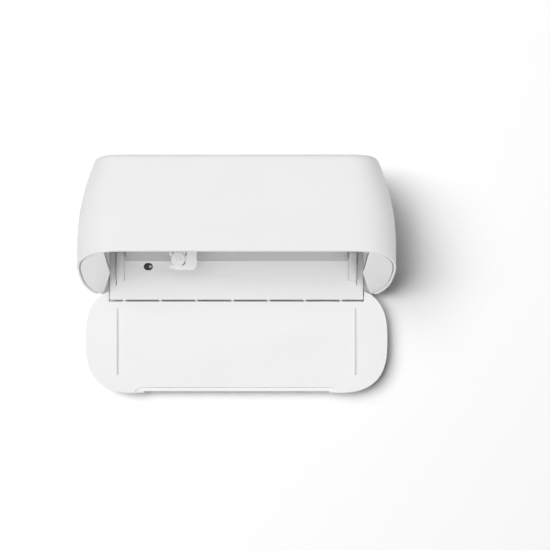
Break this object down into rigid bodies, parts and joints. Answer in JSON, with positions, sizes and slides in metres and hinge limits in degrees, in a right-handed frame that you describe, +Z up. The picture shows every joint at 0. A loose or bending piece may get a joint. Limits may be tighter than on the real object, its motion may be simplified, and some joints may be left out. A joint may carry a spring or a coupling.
{
  "type": "portable inkjet printer",
  "caption": "Flat rounded inkjet printer with a fold-down front flap with paper fins, a sliding print carriage, a roller paper feed and a rear paper slot.",
  "frame": {"origin": "on the table, in the middle of the footprint with the flap open", "axes": "+X to the printer's right seen from the front, +Y to its back, +Z up"},
  "size_m": [0.297, 0.2236, 0.0952],
  "materials": {
    "casing_white": "fine matte texture",
    "flap_white": "fine matte texture",
    "cheek_grey": "satin",
    "floor_white": "satin",
    "inner_grey": "matte",
    "dark_plastic": "matte",
    "steel": "satin",
    "rubber": "matte",
    "gear_plastic": "satin",
    "brass": "satin",
    "board_green": "solder mask",
    "lens_grey": "gloss",
    "felt": "felt",
    "film": "clear film"
  },
  "bodies": {
    "casing": {"base_shell": "casing_white", "top_shell": "casing_white", "rear_cover": "casing_white", "rear_screws": "steel", "base_screws": "steel", "rubber_feet": "rubber", "front_bezel": "cheek_grey", "hinge_pins": "steel", "paper_floor": "floor_white", "rail_left": "floor_white", "rail_right": "floor_white", "sensor_housing": "dark_plastic", "sensor_lens": "lens_grey", "platen": "floor_white", "chassis": "inner_grey", "side_frame_left": "steel", "side_frame_right": "steel", "upper_rail": "steel", "guide_rod": "steel", "encoder_strip": "film", "drive_belt": "rubber", "carriage_motor": "steel", "idler_bracket": "steel", "feed_motor": "steel", "pinch_holder": "inner_grey", "star_holder": "inner_grey", "cap_station": "inner_grey", "wiper_blade": "rubber", "paper_chute": "inner_grey", "main_board": "board_green", "power_inlet": "dark_plastic", "data_socket": "steel", "ink_pad": "felt"},
    "flap": {"flap_panel": "flap_white", "flap_cover": "casing_white"},
    "carriage": {"carriage": "floor_white", "ink_cartridge": "dark_plastic", "release_knob": "floor_white"},
    "drive_pulley": {"drive_pulley": "gear_plastic"},
    "idler_pulley": {"idler_pulley": "gear_plastic"},
    "feed_roller": {"feed_roller": "rubber", "feed_gear": "gear_plastic"},
    "idler_gear": {"idler_gear": "gear_plastic"},
    "exit_roller": {"exit_roller": "rubber", "exit_gear": "gear_plastic"},
    "motor_pinion": {"motor_pinion": "brass"},
    "pinch_rollers": {"pinch_rollers": "dark_plastic"},
    "star_wheels": {"star_wheels": "steel"},
    "cap_sled": {"cap_sled": "dark_plastic"}
  },
  "joints": [
    {"name": "flap_hinge", "type": "hinge", "parent": "casing", "child": "flap", "pos_m": [0, -0.01806, 0.01231], "axis": [-1, 0, 0], "range_deg": [0, 116.5]},
    {"name": "carriage_slide", "type": "slide", "parent": "casing", "child": "carriage", "axis": [1, 0, 0], "range_m": [-0.06, 0.161]},
    {"name": "drive_pulley_spin", "type": "hinge", "parent": "casing", "child": "drive_pulley", "pos_m": [-0.118, 0.09851, 0.056], "axis": [0, 0, 1], "range_deg": [-2000, 2000]},
    {"name": "idler_pulley_spin", "type": "hinge", "parent": "casing", "child": "idler_pulley", "pos_m": [0.118, 0.09851, 0.056], "axis": [0, 0, 1], "range_deg": [-2000, 2000]},
    {"name": "feed_roller_spin", "type": "hinge", "parent": "casing", "child": "feed_roller", "pos_m": [0, 0.066, 0.01581], "axis": [1, 0, 0], "continuous": true},
    {"name": "idler_gear_spin", "type": "hinge", "parent": "casing", "child": "idler_gear", "pos_m": [-0.114, 0.04835, 0.01581], "axis": [1, 0, 0], "continuous": true},
    {"name": "exit_roller_spin", "type": "hinge", "parent": "casing", "child": "exit_roller", "pos_m": [0, 0.03361, 0.01831], "axis": [1, 0, 0], "continuous": true},
    {"name": "motor_pinion_spin", "type": "hinge", "parent": "casing", "child": "motor_pinion", "pos_m": [-0.114, 0.07825, 0.01581], "axis": [1, 0, 0], "continuous": true},
    {"name": "pinch_rollers_spin", "type": "hinge", "parent": "casing", "child": "pinch_rollers", "pos_m": [0, 0.066, 0.02796], "axis": [1, 0, 0], "continuous": true},
    {"name": "star_wheels_spin", "type": "hinge", "parent": "casing", "child": "star_wheels", "pos_m": [0, 0.03361, 0.02856], "axis": [1, 0, 0], "continuous": true},
    {"name": "cap_sled_lift", "type": "slide", "parent": "casing", "child": "cap_sled", "axis": [0, 0, 1], "range_m": [0, 0.0032]}
  ],
  "couplings": [
    {"joint": "drive_pulley_spin", "follows": "carriage_slide", "rad_per_m": 200},
    {"joint": "idler_pulley_spin", "follows": "carriage_slide", "rad_per_m": 200},
    {"joint": "idler_gear_spin", "follows": "feed_roller_spin", "ratio": -0.93333},
    {"joint": "exit_roller_spin", "follows": "feed_roller_spin", "ratio": 1.4737},
    {"joint": "motor_pinion_spin", "follows": "feed_roller_spin", "ratio": -2.3333},
    {"joint": "pinch_rollers_spin", "follows": "feed_roller_spin", "ratio": -2},
    {"joint": "star_wheels_spin", "follows": "feed_roller_spin", "ratio": -1.762}
  ]
}
